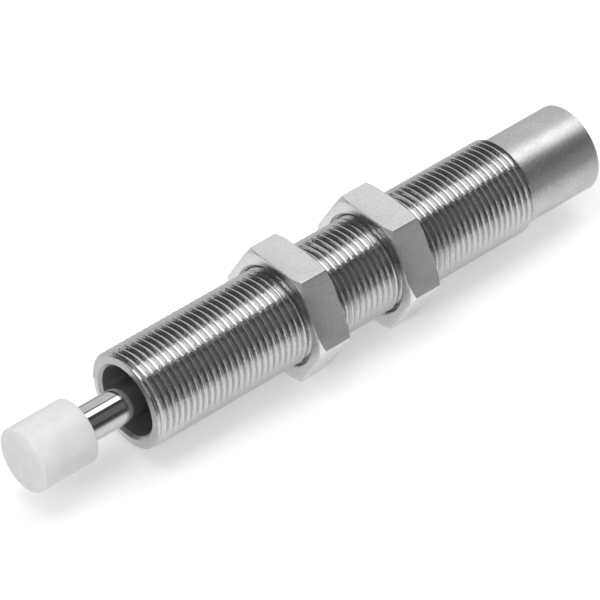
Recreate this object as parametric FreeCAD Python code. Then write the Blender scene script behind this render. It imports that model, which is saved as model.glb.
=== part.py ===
"""Self-compensating industrial shock absorber with an M14 x 1 barrel.

The barrel lies along X. The origin is the centre of the stop face, the front
end of the barrel; +X runs to the rear end and +Z is up, square to a nut flat.
All sizes are millimetres and the rod is modelled fully out, as at rest.
"""
import FreeCAD, Part
import math
import os

# Barrel
thread_major_d = 13.88
thread_length = 65.6
barrel_length = 78.4
spigot_step = 0.64
barrel_wall = 1.0
front_chamfer = 0.36

# Stop recess at the front of the barrel
recess_wall = 1.89
recess_end_gap = 0.8
recess_chamfer = 0.45
web_thickness = 1.6
web_gap = 0.4

# Rod and buffer cap
rod_d = 5.0
stroke = 16.8
cap_gap = 0.46
cap_length = 8.8
cap_edge_bevel = 0.3
nose_step = 0.7
nose_length = 5.0
shank_chamfer = 0.3

# Lock nuts
nut_wall = 1.53
nut_thickness = 5.0
nut_face_margin = 0.55
nut_chamfer_angle = 30.0
nut_countersink = 0.48
front_nut_x = 25.35
rear_nut_x = 41.25

# Wiper, rod seal and the washer behind them
wiper_length = 1.6
wiper_lip_length = 0.7
wiper_lip_height = 0.5
seal_length = 2.4
seal_groove_depth = 1.3
washer_thickness = 0.8
washer_bore_gap = 0.25

# Rod bearing, a spool with the foam sleeve round its waist
bearing_flange_length = 2.8
bearing_wall = 0.88
bearing_waist_length = 14.6
bearing_rear_flange_length = 1.4
bearing_rebate_length = 1.2
bearing_nose_length = 1.6
bearing_slot_width = 1.2
bearing_slot_floor = 0.58
bearing_slot_count = 3
foam_slit_width = 0.6

# Static sealing rings
sealing_ring_width = 1.0
sealing_ring_height = 0.9
sealing_ring_room = 0.2

# Pressure tube
oil_gap = 0.5
tube_wall = 0.8
orifice_d = 0.8
orifice_count = 3
orifice_spacing_ratio = 0.65
orifice_turn = 120.0

# Piston, check ring and piston nut
piston_flange_gap = 0.5
piston_flange_length = 1.4
piston_hub_wall = 0.87
piston_land_length = 2.4
piston_notch_width = 1.4
piston_notch_depth = 0.5
piston_notch_count = 4
check_ring_length = 1.3
check_ring_wall = 1.22
check_ring_bore_gap = 0.35
check_ring_slit = 0.3
check_ring_float = 0.4
piston_nut_gap = 0.08
piston_nut_length = 2.0
shank_tail = 0.6

# Return spring
spring_wire_d = 0.8
spring_turns = 6
spring_runs_per_turn = 18
spring_wall_gap = 0.2
spring_seat_thickness = 0.8
spring_seat_margin = 0.4

# End plug, filler port and retaining ring
plug_length = 4.4
plug_spigot_length = 1.6
port_d = 3.0
port_seat_d = 1.4
screw_length = 3.6
socket_width = 1.5
socket_depth = 1.3
retainer_thickness = 0.8
retainer_groove_depth = 0.35
retainer_width = 0.9
retainer_gap_width = 4.6
retainer_lug_d = 1.9
retainer_lug_hole_d = 0.9
retainer_end_margin = 1.0

# Clearances
running_gap = 0.02
piston_gap = 0.03
thread_gap = 0.03
seat_gap = 0.03
face_gap = 0.03

# Radii that several pieces share
thread_r = thread_major_d / 2
spigot_r = thread_r - spigot_step
bore_r = spigot_r - barrel_wall
recess_r = thread_r - recess_wall
cap_r = recess_r - cap_gap
nut_hole_r = thread_r + thread_gap
nut_flat_r = nut_hole_r + nut_wall
rod_r = rod_d / 2
nose_r = rod_r - nose_step
seated_r = bore_r - seat_gap
rod_bore_r = rod_r + running_gap
waist_r = rod_bore_r + bearing_wall
tube_r = bore_r - oil_gap
tube_bore_r = tube_r - tube_wall
tube_seat_r = tube_bore_r - seat_gap
piston_r = tube_bore_r - piston_gap
check_ring_bore_r = piston_r - check_ring_wall
hub_r = check_ring_bore_r - check_ring_bore_gap
shank_bore_r = hub_r - piston_hub_wall
shank_r = shank_bore_r - seat_gap
spring_outer_r = piston_r - spring_wall_gap
spring_inner_r = spring_outer_r - spring_wire_d

# Places along the axis, from the front
cap_front_x = -stroke
cap_back_x = cap_front_x + cap_length
recess_depth = cap_length + recess_end_gap
bore_front_x = recess_depth + web_thickness
wiper_x = bore_front_x + face_gap
seal_x = wiper_x + wiper_length + face_gap
washer_x = seal_x + seal_length + face_gap
bearing_x = washer_x + washer_thickness + face_gap
waist_x = bearing_x + bearing_flange_length
rear_flange_x = waist_x + bearing_waist_length
tube_x = rear_flange_x + bearing_rear_flange_length + face_gap
nose_end_x = tube_x + bearing_nose_length
piston_x = nose_end_x + face_gap
hub_x = piston_x + piston_flange_length
check_ring_x = hub_x + face_gap
land_x = check_ring_x + check_ring_length + check_ring_float + face_gap
piston_back_x = land_x + piston_land_length
piston_nut_x = piston_back_x + face_gap
shank_end_x = piston_nut_x + piston_nut_length + shank_tail

# Places along the axis, from the rear
retainer_x = barrel_length - retainer_end_margin - retainer_thickness
plug_back_x = retainer_x - face_gap
plug_x = plug_back_x - plug_length
plug_ring_x = (plug_x + plug_back_x) / 2
screw_shoulder_x = plug_back_x - screw_length
screw_tip_x = screw_shoulder_x - (port_d - port_seat_d) / 2
tube_end_x = plug_x - face_gap
spring_seat_x = plug_x - plug_spigot_length - face_gap - spring_seat_thickness
spring_front_x = piston_back_x + face_gap
spring_back_x = spring_seat_x - face_gap


def point(x, y=0.0, z=0.0):
    return FreeCAD.Vector(x, y, z)


AXIS = point(1)


def turned(outline):
    """Solid turned about the X axis from a closed outline of (x, radius) points."""
    corners = [point(x, 0, r) for x, r in outline]
    face = Part.Face(Part.makePolygon(corners + corners[:1]))
    return face.revolve(point(0), AXIS, 360)


def rod(x_start, x_end, radius):
    return Part.makeCylinder(radius, x_end - x_start, point(x_start), AXIS)


def ring(x_start, x_end, inner_r, outer_r):
    return rod(x_start, x_end, outer_r).cut(rod(x_start, x_end, inner_r))


def block(x_start, x_end, y_start, y_end, z_start, z_end):
    size = (x_end - x_start, y_end - y_start, z_end - z_start)
    return Part.makeBox(*size, point(x_start, y_start, z_start))


def turned_copies(shape, count):
    """Copies of a shape, evenly spaced round the X axis and joined."""
    copies = []
    for index in range(count):
        copy = shape.copy()
        copy.rotate(point(0), AXIS, index * 360 / count)
        copies.append(copy)
    return copies[0].fuse(copies[1:])


def corner_radius(flat_r):
    return flat_r / math.cos(math.radians(30))


def hexagon_bar(x_start, x_end, flat_r):
    """Hexagonal bar along X with one flat facing +Z."""
    corner_r = corner_radius(flat_r)
    corners = []
    for index in range(7):
        angle = math.radians(60 * index)
        corners.append(point(x_start, corner_r * math.cos(angle), corner_r * math.sin(angle)))
    return Part.Face(Part.makePolygon(corners)).extrude(point(x_end - x_start))


def corner_envelope(x_start, x_end, face_r, corner_r, angle):
    """Turned body that takes the corners off a hexagon at both faces."""
    slope = (corner_r - face_r) * math.tan(math.radians(angle))
    return turned([
        (x_start, 0),
        (x_start, face_r),
        (x_start + slope, corner_r),
        (x_end - slope, corner_r),
        (x_end, face_r),
        (x_end, 0),
    ])


def square_ring(middle_x):
    """Lathe-cut sealing ring of square section, between its floor and the barrel bore."""
    half = sealing_ring_width / 2
    return ring(middle_x - half, middle_x + half, seated_r - sealing_ring_height, seated_r)


def barrel():
    groove_r = bore_r + retainer_groove_depth
    outside = turned([
        (0, 0),
        (0, thread_r - front_chamfer),
        (front_chamfer, thread_r),
        (thread_length, thread_r),
        (thread_length + spigot_step, spigot_r),
        (barrel_length, spigot_r),
        (barrel_length, 0),
    ])
    recess = turned([
        (0, 0),
        (0, recess_r + recess_chamfer),
        (recess_chamfer, recess_r),
        (recess_depth, recess_r),
        (recess_depth, 0),
    ])
    passage = rod(0, barrel_length, rod_r + web_gap)
    bore = rod(bore_front_x, barrel_length, bore_r)
    groove = rod(retainer_x - face_gap, retainer_x + retainer_thickness + face_gap, groove_r)
    return outside.cut([recess, passage, bore, groove])


def lock_nut(x):
    back = x + nut_thickness
    corner_r = corner_radius(nut_flat_r)
    face_r = nut_flat_r + nut_face_margin
    sink_r = nut_hole_r + nut_countersink
    body = hexagon_bar(x, back, nut_flat_r).common(
        corner_envelope(x, back, face_r, corner_r, nut_chamfer_angle))
    hole = turned([
        (x, 0),
        (x, sink_r),
        (x + nut_countersink, nut_hole_r),
        (back - nut_countersink, nut_hole_r),
        (back, sink_r),
        (back, 0),
    ])
    return body.cut(hole)


def buffer_cap():
    body = turned([
        (cap_front_x, 0),
        (cap_front_x, cap_r - cap_edge_bevel),
        (cap_front_x + cap_edge_bevel, cap_r),
        (cap_back_x - cap_edge_bevel, cap_r),
        (cap_back_x, cap_r - cap_edge_bevel),
        (cap_back_x, 0),
    ])
    return body.cut(rod(cap_back_x - nose_length - seat_gap, cap_back_x, nose_r + seat_gap))


def piston_rod():
    """Chromed rod: the nose in the cap, the shaft and the shank that holds the piston."""
    shaft_front = cap_back_x + face_gap
    return turned([
        (cap_back_x - nose_length, 0),
        (cap_back_x - nose_length, nose_r),
        (shaft_front, nose_r),
        (shaft_front, rod_r),
        (piston_x, rod_r),
        (piston_x, shank_r),
        (shank_end_x - shank_chamfer, shank_r),
        (shank_end_x, shank_r - shank_chamfer),
        (shank_end_x, 0),
    ])


def wiper_ring():
    """Ring with a lip that leans forward onto the rod."""
    back = wiper_x + wiper_length
    lip_back = wiper_x + wiper_lip_length
    return turned([
        (wiper_x, rod_bore_r),
        (lip_back, rod_bore_r + wiper_lip_height),
        (lip_back, seated_r),
        (back, seated_r),
        (back, rod_bore_r + wiper_lip_height),
    ])


def rod_seal():
    """Lip seal, with a V groove open to the oil side."""
    back = seal_x + seal_length
    middle_r = (rod_bore_r + seated_r) / 2
    return turned([
        (seal_x, rod_bore_r),
        (seal_x, seated_r),
        (back, seated_r),
        (back - seal_groove_depth, middle_r),
        (back, rod_bore_r),
    ])


def seal_washer():
    return ring(washer_x, washer_x + washer_thickness, rod_r + washer_bore_gap, seated_r)


def bearing_sealing_ring():
    return square_ring(bearing_x + bearing_rebate_length - (sealing_ring_width + seat_gap) / 2)


def rod_bearing():
    """Bronze spool: a rebate for its sealing ring in front, the foam's waist, a slotted tail."""
    rebate_r = seated_r - sealing_ring_height - seat_gap
    spool = turned([
        (bearing_x, rod_bore_r),
        (bearing_x, rebate_r),
        (bearing_x + bearing_rebate_length, rebate_r),
        (bearing_x + bearing_rebate_length, seated_r),
        (waist_x, seated_r),
        (waist_x, waist_r),
        (rear_flange_x, waist_r),
        (rear_flange_x, seated_r),
        (tube_x - face_gap, seated_r),
        (tube_x - face_gap, tube_seat_r),
        (nose_end_x, tube_seat_r),
        (nose_end_x, rod_bore_r),
    ])
    slot = block(
        rear_flange_x, nose_end_x,
        -bearing_slot_width / 2, bearing_slot_width / 2,
        rod_bore_r + bearing_slot_floor, bore_r)
    return spool.cut(turned_copies(slot, bearing_slot_count))


def accumulator_foam():
    sleeve = ring(waist_x + face_gap, rear_flange_x - face_gap, waist_r + seat_gap, seated_r)
    slit = block(
        waist_x, rear_flange_x,
        -foam_slit_width / 2, foam_slit_width / 2,
        0, bore_r)
    return sleeve.cut(slit)


def orifice_places():
    """Metering orifices, closer together towards the end of the stroke."""
    steps = [orifice_spacing_ratio ** index for index in range(orifice_count)]
    places = []
    x = piston_back_x
    for step in steps:
        x += stroke * step / sum(steps)
        places.append(x - orifice_d)
    return places


def pressure_tube():
    tube = ring(tube_x, tube_end_x, tube_bore_r, tube_r)
    holes = []
    for index, x in enumerate(orifice_places()):
        hole = Part.makeCylinder(orifice_d / 2, bore_r, point(x), point(0, 0, 1))
        hole.rotate(point(x), AXIS, index * orifice_turn)
        holes.append(hole)
    return tube.cut(holes)


def piston_head():
    flange_r = tube_bore_r - piston_flange_gap
    body = turned([
        (piston_x + face_gap, shank_bore_r),
        (piston_x + face_gap, flange_r),
        (hub_x, flange_r),
        (hub_x, hub_r),
        (land_x, hub_r),
        (land_x, piston_r),
        (piston_back_x, piston_r),
        (piston_back_x, shank_bore_r),
    ])
    notch = block(
        land_x, piston_back_x,
        -piston_notch_width / 2, piston_notch_width / 2,
        piston_r - piston_notch_depth, bore_r)
    return body.cut(turned_copies(notch, piston_notch_count))


def check_ring():
    back = check_ring_x + check_ring_length
    body = ring(check_ring_x, back, check_ring_bore_r, piston_r)
    slit = block(check_ring_x, back, -check_ring_slit / 2, check_ring_slit / 2, 0, bore_r)
    return body.cut(slit)


def piston_nut():
    back = piston_nut_x + piston_nut_length
    flat_r = (spring_inner_r - piston_nut_gap) * math.cos(math.radians(30))
    return hexagon_bar(piston_nut_x, back, flat_r).cut(rod(piston_nut_x, back, shank_bore_r))


def spring_path():
    """Points along the coil, joined by short straight runs."""
    middle_r = (spring_inner_r + spring_outer_r) / 2
    runs = spring_turns * spring_runs_per_turn
    length = spring_back_x - spring_front_x
    points = []
    for index in range(runs + 1):
        angle = 2 * math.pi * index / spring_runs_per_turn
        x = spring_front_x + length * index / runs
        points.append(point(x, middle_r * math.cos(angle), middle_r * math.sin(angle)))
    return points


def return_spring():
    """Coil with ground ends: the wire is cut flat where it meets its seats."""
    points = spring_path()
    along = (points[1] - points[0]).normalize()
    across = along.cross(point(0, 1, 0)).normalize()
    outward = across.cross(along)
    section = []
    for index in range(7):
        angle = math.radians(60 * index)
        corner = across * math.cos(angle) + outward * math.sin(angle)
        section.append(points[0] + corner * (spring_wire_d / 2))
    mitred = 1
    coil = Part.makePolygon(points).makePipeShell([Part.makePolygon(section)], True, False, mitred)
    return coil.common(rod(spring_front_x, spring_back_x, bore_r))


def spring_seat():
    inner_r = spring_inner_r - spring_seat_margin
    return ring(spring_seat_x, spring_seat_x + spring_seat_thickness, inner_r, tube_seat_r)


def plug_sealing_ring():
    return square_ring(plug_ring_x)


def end_plug():
    front = plug_x - plug_spigot_length
    body = turned([
        (front, 0),
        (front, tube_seat_r),
        (plug_x, tube_seat_r),
        (plug_x, seated_r),
        (plug_back_x, seated_r),
        (plug_back_x, 0),
    ])
    groove = ring(
        plug_ring_x - sealing_ring_width / 2 - sealing_ring_room,
        plug_ring_x + sealing_ring_width / 2 + sealing_ring_room,
        seated_r - sealing_ring_height - seat_gap, bore_r)
    port = turned([
        (front, 0),
        (front, port_seat_d / 2),
        (screw_tip_x - 2 * seat_gap, port_seat_d / 2),
        (screw_shoulder_x - seat_gap, port_d / 2 + seat_gap),
        (plug_back_x, port_d / 2 + seat_gap),
        (plug_back_x, 0),
    ])
    return body.cut([groove, port])


def filler_screw():
    """Socket screw whose 45 degree cone shuts the port's seat."""
    body = turned([
        (screw_tip_x, 0),
        (screw_tip_x, port_seat_d / 2),
        (screw_shoulder_x, port_d / 2),
        (plug_back_x, port_d / 2),
        (plug_back_x, 0),
    ])
    return body.cut(hexagon_bar(plug_back_x - socket_depth, plug_back_x, socket_width / 2))


def retaining_ring():
    back = retainer_x + retainer_thickness
    outer_r = bore_r + retainer_groove_depth - seat_gap
    lug_r = retainer_lug_d / 2
    lug_centre_r = bore_r - seat_gap - lug_r
    body = ring(retainer_x, back, outer_r - retainer_width, outer_r)
    lug_y = retainer_gap_width / 2
    lug_z = -math.sqrt(lug_centre_r ** 2 - lug_y ** 2)
    gap = block(retainer_x, back, -lug_y, lug_y, -spigot_r, 0)
    body = body.cut(gap)
    for side in (-1, 1):
        centre = point(retainer_x, side * lug_y, lug_z)
        lug = Part.makeCylinder(lug_r, retainer_thickness, centre, AXIS)
        hole = Part.makeCylinder(retainer_lug_hole_d / 2, retainer_thickness, centre, AXIS)
        body = body.fuse(lug).cut(hole)
    return body


NODES = {
    "barrel": barrel,
    "front_lock_nut": lambda: lock_nut(front_nut_x),
    "rear_lock_nut": lambda: lock_nut(rear_nut_x),
    "buffer_cap": buffer_cap,
    "piston_rod": piston_rod,
    "wiper_ring": wiper_ring,
    "rod_seal": rod_seal,
    "seal_washer": seal_washer,
    "rod_bearing": rod_bearing,
    "bearing_sealing_ring": bearing_sealing_ring,
    "accumulator_foam": accumulator_foam,
    "pressure_tube": pressure_tube,
    "piston_head": piston_head,
    "check_ring": check_ring,
    "piston_nut": piston_nut,
    "return_spring": return_spring,
    "spring_seat": spring_seat,
    "end_plug": end_plug,
    "plug_sealing_ring": plug_sealing_ring,
    "filler_screw": filler_screw,
    "retaining_ring": retaining_ring,
}


def main():
    os.makedirs("parts", exist_ok=True)
    for name, build in NODES.items():
        shape = build()
        shape.exportStep(f"parts/{name}.step")


main()
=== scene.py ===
import math

import bmesh
import bpy
from bpy.props import FloatProperty, FloatVectorProperty, IntProperty, PointerProperty
from bpy.types import Operator, Panel, PropertyGroup
from mathutils import Matrix, Vector


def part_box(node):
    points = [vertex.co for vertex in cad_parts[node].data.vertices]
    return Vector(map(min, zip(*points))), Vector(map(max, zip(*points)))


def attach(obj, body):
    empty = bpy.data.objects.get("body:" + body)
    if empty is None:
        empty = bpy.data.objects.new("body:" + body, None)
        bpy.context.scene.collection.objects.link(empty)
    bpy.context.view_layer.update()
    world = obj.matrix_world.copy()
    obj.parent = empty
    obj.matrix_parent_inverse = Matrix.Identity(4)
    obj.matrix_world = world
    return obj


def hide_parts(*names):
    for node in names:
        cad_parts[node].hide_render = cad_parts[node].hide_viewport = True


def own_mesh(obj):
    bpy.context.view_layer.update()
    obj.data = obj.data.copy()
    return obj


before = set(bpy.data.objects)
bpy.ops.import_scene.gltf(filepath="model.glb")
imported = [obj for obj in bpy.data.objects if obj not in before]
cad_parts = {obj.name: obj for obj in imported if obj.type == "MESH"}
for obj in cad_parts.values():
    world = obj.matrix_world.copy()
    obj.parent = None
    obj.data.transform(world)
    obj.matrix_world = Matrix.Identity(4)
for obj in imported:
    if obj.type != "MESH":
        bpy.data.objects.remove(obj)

bl_info = {
    "name": "Industrial shock absorber",
    "version": (1, 0, 0),
    "blender": (4, 5, 0),
    "location": "View3D > Sidebar > Absorber",
    "description": "Builds the looks of a threaded hydraulic shock absorber round its CAD frame",
    "category": "Object",
}

MM = 0.001

# The gap between pieces that seat on each other, and how near two points are joined into one.
SEAT_GAP = 0.03 * MM
JOIN_DISTANCE = 2e-7
THREAD_JOIN_DISTANCE = 3e-6

# Rows of the thread's grid on a flank and on a whole pitch. Half a crest and half a root have one each.
FLANK_ROWS = 2
ROWS_PER_PITCH = 2 * (FLANK_ROWS + 2)

# Facets round the turned pieces other than the barrel, and points along the snap ring and round its lugs.
CAP_STEPS = 120
TURNED_STEPS = 96
SCREW_STEPS = 72
RING_STEPS = 84
LUG_STEPS = 40

# Edges that turn by more degrees than this look crisp, where a piece gives no angle of its own.
SHARP_ANGLE = 32.0

# Shares of the way over a nut's rounded rim, and down its chamfer, at which it has a row of points.
NUT_RIM_ROWS = (0.3, 0.65, 1.0)
NUT_CHAMFER_ROWS = (0.35, 0.7, 1.0)

STREAKS_PER_RADIAN = 14.0
WIRE_RADIUS = 0.4 * MM

# Nearly all of a noise lies between these values.
NOISE_SPAN = (0.3, 0.7)

# The barrel's finishes in the order of its material slots.
BARREL_FINISHES = ("turned_steel", "recess_steel", "brushed_steel", "faced_steel")

# The inner parts that keep their CAD shape, and their finishes.
INNER_FINISHES = {
    "wiper_ring": "black_rubber",
    "rod_seal": "black_rubber",
    "seal_washer": "ground_steel",
    "rod_bearing": "turned_bronze",
    "bearing_sealing_ring": "black_rubber",
    "accumulator_foam": "dark_foam",
    "pressure_tube": "ground_steel",
    "piston_head": "ground_steel",
    "check_ring": "ground_steel",
    "piston_nut": "ground_steel",
    "spring_seat": "ground_steel",
    "plug_sealing_ring": "black_rubber",
}

# What the lamps face and the floor's tones lie round, and half the floor's width.
STAGE_CENTRE = (0.03, 0.0, 0.0)
FLOOR_HALF = 4.0

# How far out the floor's lit white gives way to plain white for the camera.
PLAIN_WHITE_FADE = (0.15, 0.6)

# How far out metal begins and ends to mirror the dim studio. A length along X counts at a share, and a share
# of the way behind the object is taken off.
FRONT_FADE = (0.02, 0.075)
ALONG_SHARE = 0.5
BEHIND_SHARE = 0.5

# The same behind the object, and how much of the studio metal mirrors there at least.
BEHIND_FADE = (0.01, 0.03)
BEHIND_DIM = 0.45

# The camera's place along its own right, up and back directions.
CAMERA_PLACE = (0.022414, 0.013078, 0.60281)

# Each lamp's name, the setting of its brightness, its direction from the object, the way that its width lies,
# its distance, width and height, and where it has one, the visibility that is turned off.
LAMPS = (
    ("top_strip", "top_light", (0.3, 0.02, 1.0), (1, 0, 0), 1.05, 1.8, 0.53),
    ("back_panel", "back_light", (0.66, 0.59, 0.45), (1, 0, 0), 1.5, 1.35, 1.7),
    ("front_panel", "front_light", (0.5, -0.67, 0.55), (1, 0, 0), 1.4, 1.4, 0.9),
    ("low_panel", "low_light", (0.67, -0.735, 0.11), (1, 0, 0), 1.4, 1.1, 0.4),
    ("side_panel", "side_light", (-0.75, -0.43, 0.5), (0, 1, 0), 1.4, 0.9, 0.7),
    ("fill_box", "fill_light", (-0.58, -0.08, 0.8), (0, 1, 0), 1.2, 1.5, 1.4, "visible_glossy"),
    ("rim_box", "rim_light", (-0.4, -0.9, 0.09), (1, 0, 0), 1.2, 1.4, 0.2, "visible_glossy"),
    ("end_panel", "end_light", (-1.0, 0.0, 0.28), (0, 1, 0), 1.4, 1.5, 0.75, "visible_diffuse"),
)


def node_low(node):
    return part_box(node)[0]


def node_high(node):
    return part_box(node)[1]


def distance(name, description, default):
    """A length property, given in metres."""
    return FloatProperty(
        name=name, description=description, default=default, unit="LENGTH", subtype="DISTANCE", precision=5
    )


def colour(name, description, default):
    return FloatVectorProperty(
        name=name, description=description, default=default, subtype="COLOR", size=3, min=0.0, max=1.0
    )


def share(name, description, default):
    return FloatProperty(
        name=name, description=description, default=default, subtype="FACTOR", min=0.0, max=1.0
    )


def degrees(name, description, default):
    """An angle property, given in degrees."""
    return FloatProperty(name=name, description=description, default=math.radians(default), subtype="ANGLE")


def number(name, description, default, **limits):
    return FloatProperty(name=name, description=description, default=default, **limits)


def whole_number(name, description, default, least):
    return IntProperty(name=name, description=description, default=default, min=least)


# Settings


class BarrelSettings(PropertyGroup):
    steps: whole_number("Steps around", "Facets round the barrel", 120, 24)
    length: distance("Length", "Barrel from stop face to rear rim", node_high("barrel").x)
    crest_radius: distance("Crest radius", "Half the thread's major diameter", node_high("barrel").z)
    pitch: distance("Pitch", "Distance between two thread crests", 1.0 * MM)
    thread_depth: distance("Thread depth", "From crest to root", 0.52 * MM)
    thread_start: share("Thread start", "Place of the first crest as a share of the pitch", 0.52)
    thread_length: distance("Thread length", "Full thread from the stop face", 65.6 * MM)
    crest_share: share("Crest share", "Flat crest as a share of the pitch", 0.15)
    root_share: share("Root share", "Flat root as a share of the pitch", 0.16)
    front_chamfer: distance("Front chamfer", "Outer chamfer at the stop face", 0.36 * MM)
    spigot_radius: distance("Spigot radius", "Plain rear end", 6.3 * MM)
    recess_radius: distance("Recess radius", "Recess that takes the buffer cap", 5.05 * MM)
    recess_depth: distance("Recess depth", "Depth of that recess", 9.6 * MM)
    mouth_chamfer: distance("Mouth chamfer", "Chamfer at the recess mouth", 0.45 * MM)
    mouth_depth: distance("Mouth depth", "How far the faced finish goes in", 0.6 * MM)
    ledge: distance("Ledge", "Turned ring of the front face, inside the thread", 0.1 * MM)
    web_radius: distance("Web hole radius", "Hole the rod passes", 2.9 * MM)
    web_end: distance("Web end", "Where the inner bore begins", 11.2 * MM)
    bore_radius: distance("Bore radius", "Inner bore", 5.3 * MM)
    bore_chamfer: distance("Bore chamfer", "Chamfer at the rear end of the bore", 0.2 * MM)
    groove_radius: distance("Groove radius", "Groove for the snap ring", 5.65 * MM)


class NutSettings(PropertyGroup):
    hole_radius: distance("Hole radius", "Plain hole over the thread crests", 6.97 * MM)
    flat_radius: distance("Flat radius", "Half the width across flats", node_high("front_lock_nut").z)
    face_radius: distance("Face radius", "Where the corner chamfers begin", 9.05 * MM)
    sink: distance("Countersink", "Depth and width of the countersink", 0.48 * MM)
    sink_edge: distance("Countersink edge", "How far its edges are broken", 0.04 * MM)
    sink_rim: distance("Countersink rim", "The same for its rim, inwards", 0.05 * MM)
    corner_radius: distance("Corner radius", "Rounding of the six long corners", 0.12 * MM)
    rim_radius: distance("Rim radius", "Rounding of the face rim", 0.07 * MM)
    chamfer_angle: degrees("Chamfer angle", "Corner chamfer against the face", 30)


class PlungerSettings(PropertyGroup):
    cap_radius: distance("Cap radius", "Buffer cap", node_high("buffer_cap").z)
    cap_edge: distance("Cap edge", "Rounding of the cap's edges", 0.32 * MM)
    rod_radius: distance("Rod radius", "Chromed rod", node_high("piston_rod").z)
    nose_radius: distance("Nose radius", "Rod's nose inside the cap", 1.8 * MM)
    nose_length: distance("Nose length", "Depth of the nose in the cap", 5.0 * MM)
    shoulder_x: distance("Shoulder", "Where the full rod begins behind the cap", -7.97 * MM)
    shank_x: distance("Shank", "Where the piston's shank begins", 36.58 * MM)
    shank_radius: distance("Shank radius", "Shank through the piston", 1.5 * MM)
    shank_chamfer: distance("Shank chamfer", "Chamfer at the shank's end", 0.3 * MM)


class RearSettings(PropertyGroup):
    groove_depth: distance("Groove depth", "Groove for the plug's sealing ring", 0.93 * MM)
    groove_room: distance("Groove room", "Room on each side of that ring", 0.2 * MM)
    port_radius: distance("Port radius", "Filler port in the end plug", 1.53 * MM)
    port_edge: distance("Port edge", "Chamfer at the filler port", 0.15 * MM)
    port_depth: distance("Port depth", "Where the port's cone begins", 3.63 * MM)
    cone_depth: distance("Cone depth", "Where the port's cone ends", 4.46 * MM)
    seat_radius: distance("Seat radius", "Narrow part of the port and tip of the screw", 0.7 * MM)
    screw_radius: distance("Screw radius", "Filler screw", 1.5 * MM)
    head_radius: distance("Head radius", "Inner edge of the ring round the socket", 1.05 * MM)
    socket_width: distance("Socket width", "Hexagon socket across flats", 1.5 * MM)
    socket_edge: distance("Socket edge", "Chamfer at the socket's mouth", 0.06 * MM)
    socket_depth: distance("Socket depth", "Depth of the hexagon socket", 1.3 * MM)
    drill_tip: distance("Drill tip", "Drilled cone under the socket", 0.25 * MM)
    ring_width: distance("Ring width", "Radial width of the snap ring", 0.9 * MM)
    ring_seat: distance("Ring seat", "How far the ring reaches into its groove", 0.35 * MM)
    ring_bevel: distance("Ring bevel", "Bevel on the ring's edges", 0.05 * MM)
    lug_radius: distance("Lug radius", "Lugs of the snap ring", 0.95 * MM)
    lug_hole_radius: distance("Lug hole radius", "Plier holes in the lugs", 0.45 * MM)
    gap_width: distance("Gap width", "Between the two lug centres", 4.6 * MM)


class SpringSettings(PropertyGroup):
    wire_diameter: distance("Wire diameter", "Spring wire", 2 * WIRE_RADIUS)
    coil_radius: distance("Coil radius", "Middle of the wire", node_high("return_spring").z - WIRE_RADIUS)
    turns: number("Turns", "Turns of wire, closed ends included", 8.0, min=2.0)
    closed_share: share("Closed share", "Share of the turns closed up at each end", 0.13)
    points_per_turn: whole_number("Points per turn", "Points along one turn", 40, 8)
    wire_sides: whole_number("Wire sides", "Facets round the wire", 12, 6)
    stroke: distance("Stroke", "How far the rod pushes the spring together", 16.8 * MM)


class FinishSettings(PropertyGroup):
    barrel: colour("Barrel steel", "Turned and threaded steel", (0.59, 0.59, 0.594))
    spigot: colour("Spigot steel", "Brushed plain end", (0.555, 0.555, 0.559))
    faced: colour("Faced steel", "Front face and its chamfers", (0.55, 0.55, 0.554))
    # The recess is the barrel's steel and looks dark from shade alone. Its tone is set a little lighter than
    # the barrel's: painted light that lifts the shade inside the recess.
    recess: colour("Recess steel", "Dark finish inside the recess", (0.62, 0.62, 0.624))
    nut: colour("Nut steel", "Nickel-plated nuts", (0.78, 0.78, 0.777))
    rod: colour("Chrome", "Polished rod", (0.56, 0.56, 0.565))
    cap: colour("Cap plastic", "Buffer cap", (0.89, 0.89, 0.888))
    plug: colour("Plug steel", "End plug", (0.5, 0.5, 0.505))
    black: colour("Black oxide", "Filler screw", (0.055, 0.055, 0.058))
    spring: colour("Spring steel", "Spring and snap ring", (0.3, 0.3, 0.31))
    inner: colour("Inner steel", "Ground inner parts", (0.6, 0.6, 0.61))
    bronze: colour("Bronze", "Rod bearing", (0.62, 0.40, 0.19))
    rubber: colour("Rubber", "Seals", (0.018, 0.018, 0.019))
    foam: colour("Foam", "Closed-cell sleeve", (0.035, 0.035, 0.038))


class StageSettings(PropertyGroup):
    floor: colour("Floor", "Pale floor", (0.78, 0.78, 0.78))
    floor_glow: number("Floor white", "White of the floor as seen and mirrored", 0.42)
    far_floor: number("Far floor", "Tone of the far floor as mirrored", 0.3)
    world: number("World", "Strength of the grey world", 0.085)
    top_light: number("Top light", "Brightness of the long strip overhead", 1.95)
    fill_light: number("Fill light", "Brightness of the box that metal doesn't mirror", 1.28)
    back_light: number("Back light", "Brightness of the panel behind", 0.77)
    front_light: number("Front light", "Brightness of the dim panel in front", 0.1)
    low_light: number("Low light", "Brightness of the low panel in front", 0.29)
    rim_light: number("Rim light", "Brightness of the low box that metal doesn't mirror", 2.6)
    end_light: number("End light", "Brightness of the panel that the front faces mirror", 0.3)
    side_light: number("Side light", "Brightness of the panel on the cap's side", 0.45)
    lens: number("Lens", "Focal length on a 36 mm sensor", 282.83)
    azimuth: degrees("Azimuth", "Camera direction", -41.45)
    elevation: degrees("Elevation", "Camera height", 40.77)


# Node trees


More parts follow.
